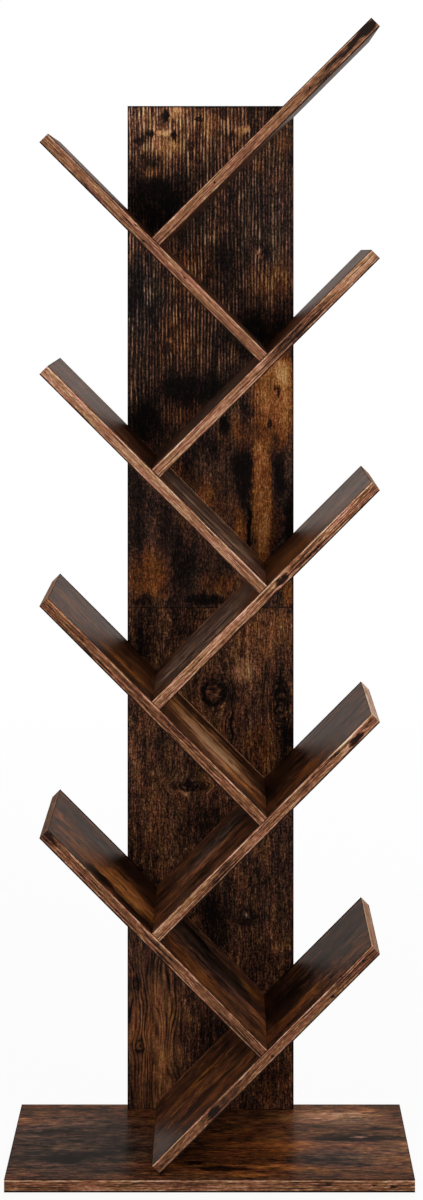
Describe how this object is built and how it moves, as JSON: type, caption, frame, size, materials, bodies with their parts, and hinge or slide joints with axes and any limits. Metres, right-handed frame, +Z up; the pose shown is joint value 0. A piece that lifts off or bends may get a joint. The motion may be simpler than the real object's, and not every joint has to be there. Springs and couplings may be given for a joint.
{
  "type": "branching bookcase",
  "caption": "Free-standing bookcase shaped like a tree: slanted shelves branch left and right from an upright back board on a flat base and hold books in diagonal compartments.",
  "frame": {"origin": "middle of the base board's underside, on the floor", "axes": "+Z up, +X to the right of someone facing the open front, +Y back towards the wall"},
  "size_m": [0.5, 0.25, 1.4322],
  "materials": {
    "trunk_decor": "rustic brown wood-print board with upright grain, matt",
    "shelf_decor": "rustic brown wood-print board with grain along the shelf, satin, lighter edge strips",
    "base_decor": "rustic brown wood-print board with grain along the width, satin",
    "dowel_beech": "bare beech, fluted",
    "screw_steel": "zinc plated",
    "plate_steel": "zinc plated, rolled"
  },
  "bodies": {
    "root": {"base_board": "base_decor", "lower_trunk_board": "trunk_decor", "upper_trunk_board": "trunk_decor", "right_shelf_1": "shelf_decor", "right_shelf_2": "shelf_decor", "right_shelf_3": "shelf_decor", "right_shelf_4": "shelf_decor", "right_shelf_5": "shelf_decor", "left_shelf_1": "shelf_decor", "left_shelf_2": "shelf_decor", "left_shelf_3": "shelf_decor", "left_shelf_4": "shelf_decor", "right_shelf_2_front_dowel": "dowel_beech", "right_shelf_2_rear_dowel": "dowel_beech", "right_shelf_3_front_dowel": "dowel_beech", "right_shelf_3_rear_dowel": "dowel_beech", "right_shelf_4_front_dowel": "dowel_beech", "right_shelf_4_rear_dowel": "dowel_beech", "right_shelf_5_front_dowel": "dowel_beech", "right_shelf_5_rear_dowel": "dowel_beech", "left_shelf_1_front_dowel": "dowel_beech", "left_shelf_1_rear_dowel": "dowel_beech", "left_shelf_2_front_dowel": "dowel_beech", "left_shelf_2_rear_dowel": "dowel_beech", "left_shelf_3_front_dowel": "dowel_beech", "left_shelf_3_rear_dowel": "dowel_beech", "left_shelf_4_front_dowel": "dowel_beech", "left_shelf_4_rear_dowel": "dowel_beech", "trunk_seam_left_dowel": "dowel_beech", "trunk_seam_right_dowel": "dowel_beech", "base_left_screw": "screw_steel", "base_middle_screw": "screw_steel", "base_right_screw": "screw_steel", "right_shelf_1_lower_screw": "screw_steel", "right_shelf_1_upper_screw": "screw_steel", "right_shelf_2_lower_screw": "screw_steel", "right_shelf_2_upper_screw": "screw_steel", "right_shelf_3_lower_screw": "screw_steel", "right_shelf_3_upper_screw": "screw_steel", "right_shelf_4_lower_screw": "screw_steel", "right_shelf_4_upper_screw": "screw_steel", "right_shelf_5_lower_screw": "screw_steel", "right_shelf_5_upper_screw": "screw_steel", "left_shelf_1_lower_screw": "screw_steel", "left_shelf_1_upper_screw": "screw_steel", "left_shelf_2_lower_screw": "screw_steel", "left_shelf_2_upper_screw": "screw_steel", "left_shelf_3_lower_screw": "screw_steel", "left_shelf_3_upper_screw": "screw_steel", "left_shelf_4_lower_screw": "screw_steel", "left_shelf_4_upper_screw": "screw_steel", "left_joining_plate": "plate_steel", "right_joining_plate": "plate_steel", "left_plate_lower_screw": "screw_steel", "left_plate_upper_screw": "screw_steel", "right_plate_lower_screw": "screw_steel", "right_plate_upper_screw": "screw_steel"}
  },
  "joints": []
}
